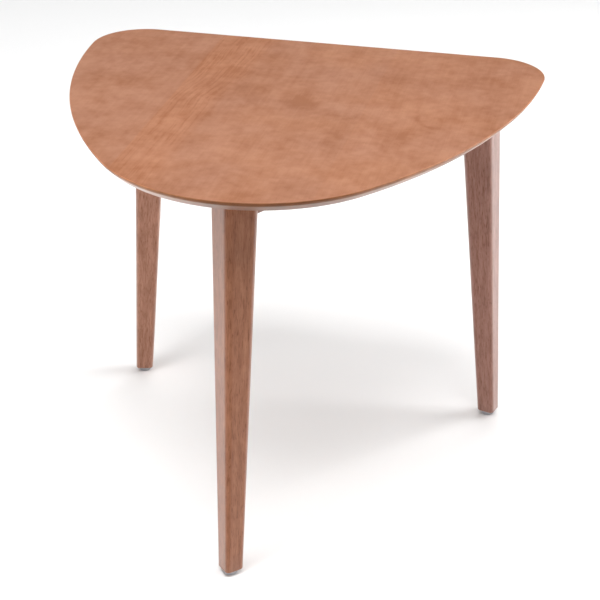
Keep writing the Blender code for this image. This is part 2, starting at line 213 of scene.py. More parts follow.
# How far colours lean to one another: the veneer's hue patches, its leaves, its band and its rim, the pores
# and streaks of the frame and the back, and the rubbed arrises
HUE_PATCH = 0.10
HUE_START = (5, 2, 0)
HUE_RANGE = (0.32, 0.68)
LEFT_LEAF_SHARE = 0.5
RIGHT_LEAF_SHARE = 0.25
BAND_SHARE = 0.5
RIM_SHARE = 0.6
FRAME_PORE_SHARE = 0.5
BACK_STREAK_SHARE = 0.35
FRAME_RUB_SHARE = 0.35
ZINC_RUB_SHARE = 0.5

# The radius over which each finish is rubbed at its arrises, and how strongly
RUBS = {"face": (0.008, 2.0), "leg": (0.003, 12.0), "frame": (0.0015, 3.0), "zinc": (0.0004, 3.0)}
RUB_SAMPLES = 4

# The coat of lacquer, and the share of it that a rubbed arris loses
COAT_ROUGHNESS = 0.3
COAT_IOR = 1.7
THIN_SHARE = 0.85

# Each wood in numbers.
# grain and wide_grain: width and length of the streaks and of the pores, and how rare the pores are.
# mottles: patches in the stain, each a size, a start, a stretch, a detail, a roughness, a warp and a depth.
# streaks, wide_streaks, pores and base: how deep each lies in the stain, and how dark it is without them.
# satin, coat, slant and gloss: the roughness, the coat seen square on and at a slant, the two slants between
# which it grows, and the gloss under it.
# relief: how high the ripple and the streaks stand, how deep the pores lie, and the size of the whole.
NO_MOVE = (0, 0, 0)
NO_STRETCH = (1, 1, 1)
WIDE_GRAIN_START = (4, 4, 4)
LEG_WOOD = {
    "grain": {"Streak_Width": 0.0012, "Streak_Length": 0.016,
              "Pore_Width": 0.0011, "Pore_Length": 0.009, "Pore_Start": 0.58},
    "wide_grain": {"Streak_Width": 0.004, "Streak_Length": 0.05},
    "mottles": ((0.014, NO_MOVE, (1, 1, 0.5), 3.0, 0.6, 0.4, 0.9),),
    "streaks": 0.9, "wide_streaks": 0.3, "pores": 0.45, "base": 0.38,
    "satin": 0.42, "slant": (0.19, 0.5), "gloss": 0.2,
    "relief": (0.4, 1.0, 1.0, 0.00006),
}
FRAME_WOOD = {
    "grain": {"Streak_Width": 0.0022, "Pore_Width": 0.0007, "Pore_Length": 0.012},
    "mottles": ((0.035, NO_MOVE, NO_STRETCH, 3.0, 0.5, 0.0, 1.2),),
    "streaks": 0.7, "base": 0.5,
    "satin": 0.5, "slant": (0.1, 0.5), "gloss": 0.2,
    "relief": (0.4, 1.0, 1.0, 0.0001),
}
WOODS = {
    "face": {
        "grain": {"Streak_Width": 0.0016, "Streak_Length": 0.04, "Pore_Width": 0.0006, "Pore_Length": 0.008},
        "wide_grain": {"Streak_Width": 0.0045, "Streak_Length": 0.12},
        "mottles": (
            (0.034, NO_MOVE, (1, 0.75, 1), 2.0, 0.45, 0.0, 1.3),
            (0.011, (3, 1, 0), NO_STRETCH, 2.0, 0.5, 0.0, 1.2),
            (0.13, (7, 2, 0), NO_STRETCH, 1.0, 0.5, 0.0, 0.8),
        ),
        "streaks": 0.36, "wide_streaks": 0.22, "pores": 0.3, "base": 0.42,
        "satin": 0.6, "coat": (0.0, 0.04), "slant": (0.1, 0.5), "gloss": 0.18,
        "relief": (0.5, 0.0, 0.6, 0.00006),
    },
    "edge": {
        "grain": {"Streak_Width": 0.0016},
        "mottles": ((0.025, NO_MOVE, NO_STRETCH, 3.0, 0.5, 0.0, 2.0),),
        "streaks": 0.6, "base": 0.5,
        "satin": 0.36, "coat": (0.0, 0.95), "slant": (0.35, 0.65), "gloss": 0.15,
        "relief": (1.0, 1.0, 0.0, 0.00004),
    },
    "back": {
        "grain": {"Streak_Width": 0.0024, "Pore_Width": 0.0005, "Pore_Length": 0.01},
        "mottles": ((0.05, NO_MOVE, (0.5, 1, 1), 4.0, 0.55, 0.4, -1.5),),
        "base": 0.5,
        "satin": 0.6, "coat": (0.0, 0.1), "slant": (0.1, 0.5), "gloss": 0.2,
        "relief": (1.0, 0.0, 1.0, 0.00008),
    },
    "leg_front": {**LEG_WOOD, "coat": (0.04, 0.93)},
    "leg_right": {**LEG_WOOD, "coat": (0.04, 0.84)},
    "leg_left": {**LEG_WOOD, "coat": (0.04, 0.94)},
    "rail": {**FRAME_WOOD, "coat": (0.1, 1.0)},
    "block": {**FRAME_WOOD, "coat": (0.1, 0.2)},
}

# How the groups of the woods are drawn: the soft streaks against the fine ones, the range that streaks and
# pores are read over, and the patches of a lacquer's skin with the middle that their sum lies about
SOFT_WIDTHS = 4.0
SOFT_LENGTHS = 3.0
FINE_SHARE = 0.6
STREAK_RANGE = (0.3, 0.7)
PORE_RANGE = 0.09
SKIN_PATCH = 0.07
SKIN_SPOT = 0.006
SKIN_SPOT_SHARE = 0.35
SKIN_MIDDLE = 0.67
SKIN_WORN_GAIN = 2.0
RIPPLE_SIZE = 0.0025

# Zinc and nylon: the sizes of their patches, the ranges these are read over, their roughness and relief
SPANGLE_SCALE = 900.0
SPANGLE_DEPTH = 0.00004
SPANGLE_STRENGTH = 0.5
ZINC_PATCH = 0.003
ZINC_RANGE = (0.35, 0.7)
ZINC_ROUGH_RANGE = (0.3, 0.7)
ZINC_ROUGHNESS = (0.24, 0.5)
NYLON_PATCH = 0.004
NYLON_SCUFF_HEIGHT = 0.0025
NYLON_SCUFF_PATCH = 0.0012
NYLON_SCUFF_STRETCH = (1, 0.25, 1)
NYLON_SCUFF_RANGE = (0.45, 0.65)
NYLON_ROUGHNESS = (0.42, 0.7)
NYLON_TEXTURE = 0.0005
NYLON_DEPTH = 0.00004


class Tree:
    """A node tree that is written as nested calls."""

    def __init__(self, tree):
        self.tree = tree

    def node(self, kind, settings=None, **sockets):
        made = self.tree.nodes.new("ShaderNode" + kind)
        for name, value in (settings or {}).items():
            setattr(made, name, value)
        for name, value in sockets.items():
            self.feed(made.inputs[name.replace("_", " ")], value)
        return made

    def feed(self, socket, value):
        if isinstance(value, bpy.types.NodeSocket):
            self.tree.links.new(value, socket)
        else:
            socket.default_value = value

    def math(self, operation, a, b=0.0, clamp=False):
        made = self.tree.nodes.new("ShaderNodeMath")
        made.operation = operation
        made.use_clamp = clamp
        self.feed(made.inputs[0], a)
        self.feed(made.inputs[1], b)
        return made.outputs[0]

    def about(self, value, gain):
        """How far the value is from one half, times the gain."""
        made = self.tree.nodes.new("ShaderNodeMath")
        made.operation = "MULTIPLY_ADD"
        for socket, number in zip(made.inputs, (value, gain, -gain / 2)):
            self.feed(socket, number)
        return made.outputs[0]

    def total(self, values, clamp=False):
        result = values[0]
        for value in values[1:]:
            result = self.math("ADD", result, value)
        return self.math("ADD", result, 0.0, clamp=True) if clamp else result

    def spread(self, value, low, high, to_low=0.0, to_high=1.0, smooth=False):
        """The value, from one range to another, held inside it."""
        made = self.node("MapRange")
        made.interpolation_type = "SMOOTHSTEP" if smooth else "LINEAR"
        for name, number in {"Value": value, "From Min": low, "From Max": high,
                             "To Min": to_low, "To Max": to_high}.items():
            self.feed(made.inputs[name], number)
        return made.outputs["Result"]

    def mix(self, share, a, b, blend="MIX"):
        made = self.tree.nodes.new("ShaderNodeMix")
        made.data_type = "RGBA"
        made.blend_type = blend
        self.feed(made.inputs[0], share)
        self.feed(made.inputs[6], a)
        self.feed(made.inputs[7], b)
        return made.outputs[2]

    def noise(self, vector, size, detail=2.0, rough=0.5, warp=0.0):
        """Noise whose patches are about size metres across."""
        settings = {"Scale": 1 / size, "Detail": detail, "Roughness": rough, "Distortion": warp}
        return self.node("TexNoise", Vector=vector, **settings).outputs["Fac"]

    def place(self, vector, turn=(0, 0, 0), stretch=NO_STRETCH, move=NO_MOVE):
        """The vector turned and moved, then stretched along its axes."""
        turned = self.node("Mapping", Vector=vector, Rotation=turn, Location=move).outputs[0]
        return self.node("Mapping", Vector=turned, Scale=stretch).outputs[0]

    def group(self, tree, **sockets):
        made = self.tree.nodes.new("ShaderNodeGroup")
        made.node_tree = tree
        for name, value in sockets.items():
            self.feed(made.inputs[name.replace("_", " ")], value)
        return made


def new_group(name, inputs, outputs):
    """An empty node group with its sockets. An input without a starting value is a vector."""
    tree = bpy.data.node_groups.new(name, "ShaderNodeTree")
    for label, value in inputs.items():
        kind = "NodeSocketVector" if value is None else "NodeSocketFloat"
        socket = tree.interface.new_socket(label, in_out="INPUT", socket_type=kind)
        if value is not None:
            socket.default_value = value
    for label in outputs:
        tree.interface.new_socket(label, in_out="OUTPUT", socket_type="NodeSocketFloat")
    helper = Tree(tree)
    given = tree.nodes.new("NodeGroupInput").outputs
    return helper, given, tree.nodes.new("NodeGroupOutput").inputs


def grain_group():
    """Straight grain along Z: broad and fine streaks, and short dark pores."""
    tree, given, out = new_group("straight_grain", {
        "Vector": None, "Streak Width": 0.002, "Streak Length": 0.07,
        "Pore Width": 0.0006, "Pore Length": 0.012, "Pore Start": 0.63,
    }, ("Streaks", "Pores"))
    parts = tree.node("SeparateXYZ", Vector=given["Vector"]).outputs

    def along(width, length, detail, rough):
        x = tree.math("DIVIDE", parts["X"], width)
        y = tree.math("DIVIDE", parts["Y"], width)
        z = tree.math("DIVIDE", parts["Z"], length)
        stretched = tree.node("CombineXYZ", X=x, Y=y, Z=z).outputs[0]
        return tree.noise(stretched, 1.0, detail, rough)

    fine = along(given["Streak Width"], given["Streak Length"], 3.0, 0.6)
    soft = along(tree.math("MULTIPLY", given["Streak Width"], SOFT_WIDTHS),
                 tree.math("MULTIPLY", given["Streak Length"], SOFT_LENGTHS), 2.0, 0.5)
    both = tree.total([tree.math("MULTIPLY", fine, FINE_SHARE), tree.math("MULTIPLY", soft, 1 - FINE_SHARE)])
    tree.feed(out["Streaks"], tree.spread(both, *STREAK_RANGE))
    dots = along(given["Pore Width"], given["Pore Length"], 1.0, 0.5)
    full = tree.math("ADD", given["Pore Start"], PORE_RANGE)
    tree.feed(out["Pores"], tree.spread(dots, given["Pore Start"], full, smooth=True))
    return tree.tree


def edge_rub_group():
    """Where the surface turns over an arris, so that its finish is thinner there."""
    tree, given, out = new_group("edge_rub", {"Radius": 0.0015, "Gain": 6.0}, ("Rub",))
    rounded = tree.node("Bevel", {"samples": RUB_SAMPLES}, Radius=given["Radius"]).outputs["Normal"]
    flat = tree.node("NewGeometry").outputs["Normal"]
    dot = tree.node("VectorMath", {"operation": "DOT_PRODUCT"})
    tree.feed(dot.inputs[0], rounded)
    tree.feed(dot.inputs[1], flat)
    away = tree.math("SUBTRACT", 1.0, dot.outputs["Value"])
    tree.feed(out["Rub"], tree.math("MULTIPLY", away, given["Gain"], clamp=True))
    return tree.tree


def lacquer_group():
    """The skin of a sprayed satin lacquer: faint ripple, and patches that are more worn or glossy."""
    tree, given, out = new_group(
        "satin_lacquer", {"Vector": None, "Satin": 0.4, "Worn": 0.08}, ("Roughness", "Ripple")
    )
    patches = tree.noise(given["Vector"], SKIN_PATCH, 3.0, 0.6)
    spots = tree.noise(given["Vector"], SKIN_SPOT, 2.0, 0.6)
    both = tree.total([patches, tree.math("MULTIPLY", spots, SKIN_SPOT_SHARE)])
    worn = tree.math("MULTIPLY", tree.math("SUBTRACT", both, SKIN_MIDDLE), given["Worn"])
    tree.feed(out["Roughness"], tree.math("ADD", given["Satin"], tree.math("MULTIPLY", worn, SKIN_WORN_GAIN)))
    tree.feed(out["Ripple"], tree.noise(given["Vector"], RIPPLE_SIZE, 1.0, 0.5))
    return tree.tree


GRAIN = grain_group()
EDGE_RUB = edge_rub_group()
LACQUER = lacquer_group()


def start_material(name):
    made = bpy.data.materials.new(name)
    made.use_nodes = True
    tree = Tree(made.node_tree)
    shader = made.node_tree.nodes["Principled BSDF"]
    vector = tree.node("TexCoord").outputs["Object"]
    return made, tree, shader, vector


def bump(tree, shader, height, distance, strength=1.0):
    made = tree.node("Bump", Height=height, Distance=distance, Strength=strength)
    tree.feed(shader.inputs["Normal"], made.outputs[0])


def grains(tree, vector, kind):
    """The fine grain of a wood, and its wide grain if it has one."""
    wood = WOODS[kind]
    fine = tree.group(GRAIN, Vector=vector, **wood["grain"]).outputs
    if "wide_grain" not in wood:
        return fine, None
    start = tree.place(vector, move=WIDE_GRAIN_START)
    return fine, tree.group(GRAIN, Vector=start, **wood["wide_grain"]).outputs


def stain(tree, vector, kind, fine, wide=None, more=()):
    """How dark a wood's stain lies, from 0 to 1, by its mottling, its grain and what more is given."""
    wood = WOODS[kind]
    terms = [wood["base"], *more]
    for size, move, stretch, detail, rough, warp, depth in wood["mottles"]:
        patches = tree.noise(tree.place(vector, move=move, stretch=stretch), size, detail, rough, warp)
        terms.append(tree.about(patches, depth))
    if "streaks" in wood:
        terms.append(tree.about(fine["Streaks"], wood["streaks"]))
    if "wide_streaks" in wood:
        terms.append(tree.about(wide["Streaks"], wood["wide_streaks"]))
    if "pores" in wood:
        terms.append(tree.math("MULTIPLY", fine["Pores"], wood["pores"]))
    return tree.total(terms, clamp=True)


def rubbed(tree, kind):
    """A mask of the arrises, where a finish is rubbed thin."""
    radius, gain = RUBS[kind]
    return tree.group(EDGE_RUB, Radius=radius, Gain=gain).outputs["Rub"]


def lacquered(tree, shader, vector, kind, fine, thin):
    """Gives a wood its satin lacquer and the relief under it. The coat grows as the surface turns away
    from the eye, and thin is a mask of where there is less of it."""
    wood = WOODS[kind]
    skin = tree.group(LACQUER, Vector=vector, Satin=wood["satin"])
    tree.feed(shader.inputs["Roughness"], skin.outputs["Roughness"])
    facing = tree.node("LayerWeight", Blend=0.5).outputs["Facing"]
    weight = tree.spread(facing, *wood["slant"], *wood["coat"])
    kept = tree.math("SUBTRACT", 1.0, tree.math("MULTIPLY", thin, THIN_SHARE))
    tree.feed(shader.inputs["Coat Weight"], tree.math("MULTIPLY", weight, kept))
    shader.inputs["Coat Roughness"].default_value = COAT_ROUGHNESS
    shader.inputs["Coat IOR"].default_value = COAT_IOR
    shader.inputs["Specular IOR Level"].default_value = wood["gloss"]
    ripple, streaks, pores, depth = wood["relief"]
    height = tree.total([
        tree.math("MULTIPLY", skin.outputs["Ripple"], ripple),
        tree.math("MULTIPLY", fine["Streaks"], streaks), tree.math("MULTIPLY", fine["Pores"], -pores),
    ])
    bump(tree, shader, height, depth)


def distance_from(tree, place, vector):
    away = tree.node("VectorMath", {"operation": "DISTANCE"})
    tree.feed(away.inputs[0], vector)
    away.inputs[1].default_value = (*place, 0)
    return away.outputs["Value"]


def veneer_band(tree, vector, x, y):
    """A mask of the veneer's band of clear lines, and the lines in it."""
    straight = tree.math("ADD", x, tree.spread(y, *BAND_BEND, 0.0, BAND_SHIFT, smooth=True))
    off = tree.math("ABSOLUTE", tree.math("SUBTRACT", straight, BAND_MIDDLE))
    fades = (share * BAND_HALF_WIDTH for share in BAND_FADE)
    band = tree.spread(off, *fades, 1.0, 0.0, smooth=True)
    band = tree.math("MULTIPLY", band, tree.math("GREATER_THAN", x, LEAF_JOINTS[0]))

    wander = tree.about(tree.noise(vector, LINE_WANDER_PATCH, 1.0), LINE_WANDER)
    across = tree.math("ADD", straight, wander)
    along = tree.node("CombineXYZ", X=across, Y=tree.math("MULTIPLY", y, LINE_STRETCH)).outputs[0]
    lines = tree.spread(tree.noise(along, LINE_SPACING, 1.0), *LINE_RANGE, smooth=True)
    dashes = tree.noise(tree.place(vector, stretch=DASH_STRETCH), DASH_PATCH, 2.0)
    lines = tree.math("MULTIPLY", lines, tree.spread(dashes, *DASH_RANGE, DASH_LEAST, 1.0))
    fade = tree.spread(y, *LINE_FADE, LINE_FADE_LEAST, 1.0)
    return band, tree.math("MULTIPLY", lines, tree.math("MULTIPLY", band, fade))


def veneer_blotches(tree, vector):
    """The dark and light blotches of the veneer, their outlines warped."""
    warp = tree.node("TexNoise", Vector=vector, Scale=BLOTCH_WARP_SCALE, Detail=2.0).outputs["Color"]
    middle = tree.place(vector, move=(-BLOTCH_WARP / 2, -BLOTCH_WARP / 2, 0))
    warped = tree.node("VectorMath", {"operation": "MULTIPLY_ADD"})
    for socket, value in zip(warped.inputs, (warp, (BLOTCH_WARP, BLOTCH_WARP, 0), middle)):
        tree.feed(socket, value)
    flat = tree.place(warped.outputs[0], stretch=(1, 1, 0))
    inner, outer = BLOTCH_FADE
    return [
        tree.spread(distance_from(tree, place, flat), inner * radius, outer * radius, depth, 0.0, smooth=True)
        for place, radius, depth in BLOTCHES
    ]


def veneer_curl(tree, vector, x, y):
    """The curl beside the knot."""
    ring = distance_from(tree, CURL_PLACE, tree.place(vector, stretch=(1, 1, 0)))
    off = tree.math("ABSOLUTE", tree.math("SUBTRACT", ring, CURL_RADIUS))
    curl = tree.spread(off, *CURL_WIDTHS, CURL_DEPTH, 0.0)
    for along, middle, ends in ((x, CURL_PLACE[0], CURL_X), (y, CURL_PLACE[1], CURL_Y)):
        shown = tree.spread(along, middle + ends[0], middle + ends[1], 1.0, 0.0)
        curl = tree.math("MULTIPLY", curl, shown)
    return curl


def veneer_material():
    """Stained veneer in three leaves, grain along Y, mottled all over, with a band of clear lines."""
    made, tree, shader, vector = start_material("stained_veneer")
    parts = tree.node("SeparateXYZ", Vector=vector).outputs
    x, y = parts["X"], parts["Y"]
    fine, wide = grains(tree, tree.place(vector, turn=(math.pi / 2, 0, 0)), "face")
    band, lines = veneer_band(tree, vector, x, y)
    rim = rubbed(tree, "face")

    hue = tree.noise(tree.place(vector, move=HUE_START), HUE_PATCH, 2.0)
    colour = tree.mix(tree.spread(hue, *HUE_RANGE), VENEER_GREY, VENEER_TAN)
    left_leaf = tree.math("LESS_THAN", x, LEAF_JOINTS[0])
    right_leaf = tree.math("GREATER_THAN", x, LEAF_JOINTS[1])
    for mask, share, other in (
        (left_leaf, LEFT_LEAF_SHARE, VENEER_GREY), (right_leaf, RIGHT_LEAF_SHARE, VENEER_ORANGE),
        (band, BAND_SHARE, VENEER_ORANGE), (rim, RIM_SHARE, VENEER_ORANGE),
    ):
        colour = tree.mix(tree.math("MULTIPLY", mask, share), colour, other)

    more = [tree.math("MULTIPLY", lines, LINE_DEPTH), veneer_curl(tree, vector, x, y)]
    dark = stain(tree, vector, "face", fine, wide, more + veneer_blotches(tree, vector))
    colour = tree.mix(1.0, colour, tree.mix(dark, WHITE, VENEER_SHADE), "MULTIPLY")
    tree.feed(shader.inputs["Base Color"], colour)
    lacquered(tree, shader, vector, "face", fine, rim)
    return made


def edge_material():
    """The board's solid edge, browner than its face; painted shade darkens it most at the front, right of the
    middle, and painted light makes it paler towards the sides.
    """
    made, tree, shader, vector = start_material("stained_edge")
    fine, wide = grains(tree, tree.place(vector, turn=(math.pi / 2, 0, 0)), "edge")
    parts = tree.node("SeparateXYZ", Vector=vector).outputs
    from_shaded_middle = tree.math("ABSOLUTE", tree.math("SUBTRACT", parts["X"], EDGE_SHADED_MIDDLE))
    # Painted shade and painted light: darkest brown at the front, right of the middle, turning to pale tan
    # towards the sides
    colour = tree.mix(tree.spread(from_shaded_middle, *EDGE_LIT_SPREAD, smooth=True), EDGE_BROWN_IN_SHADE, EDGE_TAN_IN_LIGHT)
    dark = stain(tree, vector, "edge", fine, wide)
    colour = tree.mix(1.0, colour, tree.mix(dark, WHITE, EDGE_SHADE), "MULTIPLY")
    tree.feed(shader.inputs["Base Color"], colour)
    depth = tree.math("SUBTRACT", BOARD_HIGH.z, parts["Z"])
    lacquered(tree, shader, vector, "edge", fine, tree.spread(depth, *EDGE_BAND, 1.0, 0.0))
    return made


def underside_material():
    """The back veneer under the board, with a thin coat of stain and little gloss."""
    made, tree, shader, vector = start_material("back_veneer")
    fine, wide = grains(tree, tree.place(vector, turn=(math.pi / 2, 0, 0)), "back")
    colour = tree.mix(stain(tree, vector, "back", fine, wide), BACK_LIGHT, BACK_DARK)
    colour = tree.mix(tree.math("MULTIPLY", fine["Streaks"], BACK_STREAK_SHARE), colour, BACK_STREAK)
    colour = tree.mix(tree.math("MULTIPLY", fine["Pores"], FRAME_PORE_SHARE), colour, FRAME_PORE)
    tree.feed(shader.inputs["Base Color"], colour)
    lacquered(tree, shader, vector, "back", fine, 0.0)
    return made


def leg_material(side):
    """Stained solid wood with its grain up the leg, fine streaks and short dark flecks."""
    made, tree, shader, vector = start_material(f"stained_leg_wood_{side}")
    kind = f"leg_{side}"
    vector = tree.place(vector, move=[LEG_SIDES.index(side)] * 3)
    fine, wide = grains(tree, vector, kind)
    dark = stain(tree, vector, kind, fine, wide)
    # The leg's colour holds painted light and shade as well as its wood's tone
    colour = tree.mix(1.0, LEG_TONES_AND_LIGHT[side], tree.mix(dark, WHITE, LEG_SHADE), "MULTIPLY")
    tree.feed(shader.inputs["Base Color"], colour)
    lacquered(tree, shader, vector, kind, fine, rubbed(tree, "leg"))
    return made


def frame_material(kind, side, turn):
    """Plainer wood for a rail or a block, with its grain level, along the turned X axis."""
    made, tree, shader, vector = start_material(f"{kind}_wood_{side}")
    light, dark = FRAME_TONES[kind]
    level = tree.place(tree.place(vector, turn=(0, 0, -turn)), turn=(0, math.pi / 2, 0))
    fine, wide = grains(tree, level, kind)
    colour = tree.mix(stain(tree, vector, kind, fine, wide), light, dark)
    colour = tree.mix(tree.math("MULTIPLY", fine["Pores"], FRAME_PORE_SHARE), colour, FRAME_PORE)
    rub = rubbed(tree, "frame")
    colour = tree.mix(tree.math("MULTIPLY", rub, FRAME_RUB_SHARE), colour, light)
    tree.feed(shader.inputs["Base Color"], colour)
    lacquered(tree, shader, vector, kind, fine, rub)
    return made


def zinc_material():
    """Zinc-plated steel with a faint spangle and duller patches."""
    made, tree, shader, vector = start_material("zinc_plating")
    spangle = tree.node("TexVoronoi", Vector=vector, Scale=SPANGLE_SCALE).outputs["Distance"]
    dull = tree.noise(vector, ZINC_PATCH, 3.0, 0.6)
    colour = tree.mix(tree.spread(dull, *ZINC_RANGE), ZINC_BRIGHT, ZINC_DULL)
    colour = tree.mix(tree.math("MULTIPLY", rubbed(tree, "zinc"), ZINC_RUB_SHARE), colour, ZINC_RUBBED)
    tree.feed(shader.inputs["Base Color"], colour)
    shader.inputs["Metallic"].default_value = 1.0
    tree.feed(shader.inputs["Roughness"], tree.spread(dull, *ZINC_ROUGH_RANGE, *ZINC_ROUGHNESS))
    bump(tree, shader, spangle, SPANGLE_DEPTH, SPANGLE_STRENGTH)
    return made


def nylon_material():
    """Grey moulded plastic, scuffed where it slides on the floor."""
    made, tree, shader, vector = start_material("grey_nylon")
    height = tree.node("SeparateXYZ", Vector=vector).outputs["Z"]
    low = tree.spread(height, 0.0, NYLON_SCUFF_HEIGHT, 1.0, 0.0)
    scuff = tree.noise(tree.place(vector, stretch=NYLON_SCUFF_STRETCH), NYLON_SCUFF_PATCH, 3.0, 0.7)
    worn = tree.math("MULTIPLY", low, tree.spread(scuff, *NYLON_SCUFF_RANGE))
    tint = tree.mix(tree.noise(vector, NYLON_PATCH, 2.0), *NYLON_GREYS)
    tree.feed(shader.inputs["Base Color"], tree.mix(worn, tint, NYLON_SCUFFED))
    tree.feed(shader.inputs["Roughness"], tree.spread(worn, 0.0, 1.0, *NYLON_ROUGHNESS))
    bump(tree, shader, tree.noise(vector, NYLON_TEXTURE, 2.0), NYLON_DEPTH)
    return made


def finish_piece(name, kind, body, materials, matrix=Matrix.Identity(4)):
    """Makes the object from the bmesh, smooth but for its sharp corners, and lets it ride on the frame."""
    bmesh.ops.recalc_face_normals(body, faces=body.faces)
    mesh = bpy.data.meshes.new(name)
    body.to_mesh(mesh)
    body.free()
    for material in materials:
        mesh.materials.append(material)
    mesh.shade_smooth()
    mesh.set_sharp_from_angle(angle=math.radians(SMOOTH_BELOW[kind]))
    piece = bpy.data.objects.new(name, mesh)
    bpy.context.scene.collection.objects.link(piece)
    piece.matrix_world = matrix
    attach(piece, "root")
    return piece


def loft(rings, faces_of=None):
    """A closed bmesh through rings of points. faces_of gives the material number of each stretch of it."""
    faces_of = faces_of or [0] * (len(rings) - 1)
    body = bmesh.new()
    rows = [[body.verts.new(point) for point in ring] for ring in rings]
    count = len(rings[0])
    for number, (low, high) in enumerate(zip(rows, rows[1:])):
        for i in range(count):
            j = (i + 1) % count
            face = body.faces.new((low[i], low[j], high[j], high[i]))
            face.material_index = faces_of[number]
    body.faces.new(reversed(rows[0])).material_index = faces_of[0]
    body.faces.new(rows[-1]).material_index = faces_of[-1]
    return body


def arc(centre, radius, start, end, steps):
    angles = [start + (end - start) * i / steps for i in range(steps)]
    return [Vector((centre.x + radius * math.cos(a), centre.y + radius * math.sin(a))) for a in angles]


def board_outline(inset):
    """The board's plan, drawn in from its edge by inset."""
    back = Vector((BACK_ROUND_SPACING / 2, BOARD_HIGH.y - BACK_ROUND_RADIUS))
    front = Vector((0, BOARD_LOW.y + FRONT_ROUND_RADIUS))
    to_back = SIDE_RADIUS - BACK_ROUND_RADIUS
    to_front = SIDE_RADIUS - FRONT_ROUND_RADIUS
    span = (front - back).length
    along = (span**2 + to_back**2 - to_front**2) / (2 * span)
    across = math.sqrt(to_back**2 - along**2)
    run = (front - back) / span
    side = back + run * along + Vector((run.y, -run.x)) * across
    from_back = math.atan2(back.y - side.y, back.x - side.x)
    from_front = math.atan2(front.y - side.y, front.x - side.x)
    right = arc(back, BACK_ROUND_RADIUS - inset, math.pi / 2, from_back, CORNER_STEPS)
    right += arc(side, SIDE_RADIUS - inset, from_back, from_front, SIDE_STEPS)
    right += arc(front, FRONT_ROUND_RADIUS - inset, from_front, -math.pi / 2, CORNER_STEPS)
    left = [Vector((-point.x, point.y)) for point in reversed(right)]
    return right + [Vector((0, BOARD_LOW.y + inset))] + left


def rounded_corner(before, corner, after, radius, steps):
    """Points on a small arc that replaces the corner of an (inset, height) profile, with one more on the flat
    at each end, so that the flats are shaded flat."""
    into = (corner - before).normalized()
    out = (after - corner).normalized()
    half_turn = into.angle(out) / 2
    reach = radius * math.tan(half_turn)
    first, last = corner - into * reach, corner + out * reach
    middle = corner + (out - into).normalized() * radius / math.cos(half_turn)
    start, end = first - middle, last - middle
    curve = [middle + start.slerp(end, i / steps) * radius for i in range(steps + 1)]
    return [first - into * FLAT_MARGIN, *curve, last + out * FLAT_MARGIN]


def make_board(veneer, edge, underside):
    """The board from its underside over the bevel, the edge and the top arris to the middle of its face."""
    top, low = BOARD_HIGH.z, BOARD_LOW.z
    edge_low = top - TOP_ARRIS - EDGE_FACE
    lean_in = EDGE_LEAN / EDGE_FACE * TOP_ARRIS
    corners = [Vector(place) for place in (
        (2 * BEVEL_INSET, low), (BEVEL_INSET, low), (EDGE_LEAN, edge_low),
        (-lean_in, top), (BEVEL_INSET, top),
    )]
    profile = []
    for number, radius in ((1, BEVEL_ARRIS), (2, EDGE_ARRIS), (3, TOP_ARRIS)):
        profile += rounded_corner(*corners[number - 1:number + 2], radius, ARRIS_STEPS)
    rings = [[Vector((x, y, height)) for x, y in board_outline(inset + BOX_MARGIN)]
             for inset, height in profile]
    middle = Vector((0, FACE_MIDDLE_Y))
    under, face = rings[0], rings[-1]

    def towards_middle(ring, share):
        return [Vector((*point.xy.lerp(middle, share), point.z)) for point in ring]

    shares = [(step / FACE_RINGS) * FACE_RING_REACH for step in range(1, FACE_RINGS + 1)]
    under_rings = [towards_middle(under, share) for share in reversed(shares)]
    face_rings = [towards_middle(face, share) for share in shares]
    stretches = [2] * len(under_rings) + [1] * (len(rings) - 2) + [0] * (1 + len(face_rings))
    body = loft(under_rings + rings + face_rings, faces_of=stretches)
    board = finish_piece("board", "board", body, [veneer, edge, underside])
    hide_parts("table_top")


def leg_section(size, arris, flat_at):
    """A rounded square round the leg's middle line, corner outwards, its inner corner cut at x = flat_at."""
    points = []
    reach = (size / 2 - arris) * math.sqrt(2)
    for corner in range(4):
        middle = math.pi / 2 * corner
        start = Vector((math.cos(middle), math.sin(middle))) * reach
        for step in range(LEG_ARRIS_STEPS + 1):
            turn = middle + math.pi / 2 * (step / LEG_ARRIS_STEPS - 0.5)
            point = start + Vector((math.cos(turn), math.sin(turn))) * arris
            along = Vector((-math.sin(turn), math.cos(turn))) * FLAT_MARGIN
            points += [point - along] if step == 0 else []
            points.append(point)
            points += [point + along] if step == LEG_ARRIS_STEPS else []
    inner = [i for i, point in enumerate(points) if point.x < flat_at]
    if len(inner) < 2:
        return points
    start = crossing(points[inner[0] - 1], points[inner[0]], flat_at)
    end = crossing(points[inner[-1] + 1], points[inner[-1]], flat_at)
    for number, i in enumerate(inner):
        points[i] = start.lerp(end, number / (len(inner) - 1))
    return points


def crossing(outside, inside, x):
    """Where the line between the two points has this x."""
    return outside.lerp(inside, (x - outside.x) / (inside.x - outside.x))


